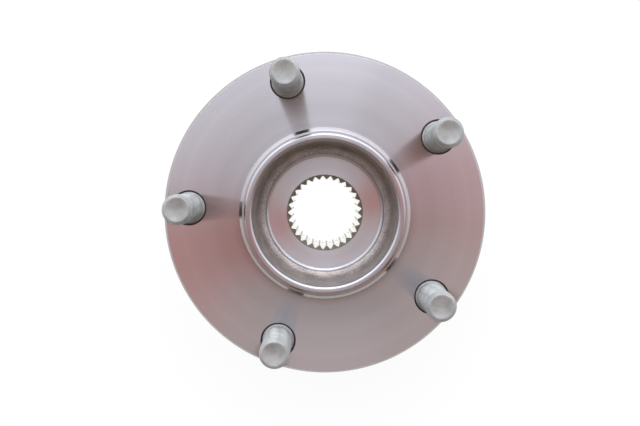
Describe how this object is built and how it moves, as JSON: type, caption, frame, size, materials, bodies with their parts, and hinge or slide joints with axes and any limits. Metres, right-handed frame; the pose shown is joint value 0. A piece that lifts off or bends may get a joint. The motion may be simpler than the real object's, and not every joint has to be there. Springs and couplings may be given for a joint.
{
  "type": "wheel hub",
  "caption": "Driven wheel hub unit: round studded wheel flange with pilot ring and splined bore, turning in a sealed double-row ball bearing with a bolt-on knuckle flange.",
  "frame": {"origin": "on the spindle's axis, in the plane of the wheel face", "axes": "+Z along the spindle's axis, outboard, the way the wheel studs point; one stud stands on +Y; +X completes the right-handed frame, parallel to the longer spacing of the knuckle bolts"},
  "size_m": [0.135, 0.135, 0.1021],
  "materials": {
    "spindle_steel": "forged bearing steel, faces turned bright, pocket left as forged",
    "outer_ring_steel": "forged bearing steel, pilot and faces machined, flange as forged",
    "inner_ring_steel": "ground bearing steel",
    "ball_steel": "polished bearing balls",
    "stud_steel": "satin grey plated steel with rolled threads",
    "cage_polymer": "glass-filled polyamide, moulded",
    "seal_case_steel": "stamped sheet steel",
    "seal_rubber": "bonded nitrile rubber",
    "slinger_steel": "stamped stainless steel",
    "encoder_rubber": "magnetic rubber, smooth"
  },
  "bodies": {
    "bearing_housing": {"outer_ring": "outer_ring_steel", "outboard_seal_case": "seal_case_steel", "outboard_seal_lip": "seal_rubber", "inboard_seal_case": "seal_case_steel", "inboard_seal_lip": "seal_rubber"},
    "hub": {"hub_spindle": "spindle_steel", "inner_ring": "inner_ring_steel", "wheel_stud_1": "stud_steel", "wheel_stud_2": "stud_steel", "wheel_stud_3": "stud_steel", "wheel_stud_4": "stud_steel", "wheel_stud_5": "stud_steel", "seal_slinger": "slinger_steel", "encoder_ring": "encoder_rubber"},
    "outboard_row": {"outboard_cage": "cage_polymer", "outboard_ball_1": "ball_steel", "outboard_ball_2": "ball_steel", "outboard_ball_3": "ball_steel", "outboard_ball_4": "ball_steel", "outboard_ball_5": "ball_steel", "outboard_ball_6": "ball_steel", "outboard_ball_7": "ball_steel", "outboard_ball_8": "ball_steel", "outboard_ball_9": "ball_steel", "outboard_ball_10": "ball_steel", "outboard_ball_11": "ball_steel", "outboard_ball_12": "ball_steel", "outboard_ball_13": "ball_steel", "outboard_ball_14": "ball_steel"},
    "inboard_row": {"inboard_cage": "cage_polymer", "inboard_ball_1": "ball_steel", "inboard_ball_2": "ball_steel", "inboard_ball_3": "ball_steel", "inboard_ball_4": "ball_steel", "inboard_ball_5": "ball_steel", "inboard_ball_6": "ball_steel", "inboard_ball_7": "ball_steel", "inboard_ball_8": "ball_steel", "inboard_ball_9": "ball_steel", "inboard_ball_10": "ball_steel", "inboard_ball_11": "ball_steel", "inboard_ball_12": "ball_steel", "inboard_ball_13": "ball_steel", "inboard_ball_14": "ball_steel"}
  },
  "joints": [
    {"name": "hub_spin", "type": "hinge", "parent": "bearing_housing", "child": "hub", "pos_m": [0, 0, 0], "axis": [0, 0, 1], "continuous": true},
    {"name": "outboard_row_spin", "type": "hinge", "parent": "bearing_housing", "child": "outboard_row", "pos_m": [0, 0, -0.0264], "axis": [0, 0, 1], "continuous": true},
    {"name": "inboard_row_spin", "type": "hinge", "parent": "bearing_housing", "child": "inboard_row", "pos_m": [0, 0, -0.0514], "axis": [0, 0, 1], "continuous": true}
  ],
  "couplings": [
    {"joint": "outboard_row_spin", "follows": "hub_spin", "ratio": 0.4263},
    {"joint": "inboard_row_spin", "follows": "hub_spin", "ratio": 0.4263}
  ]
}
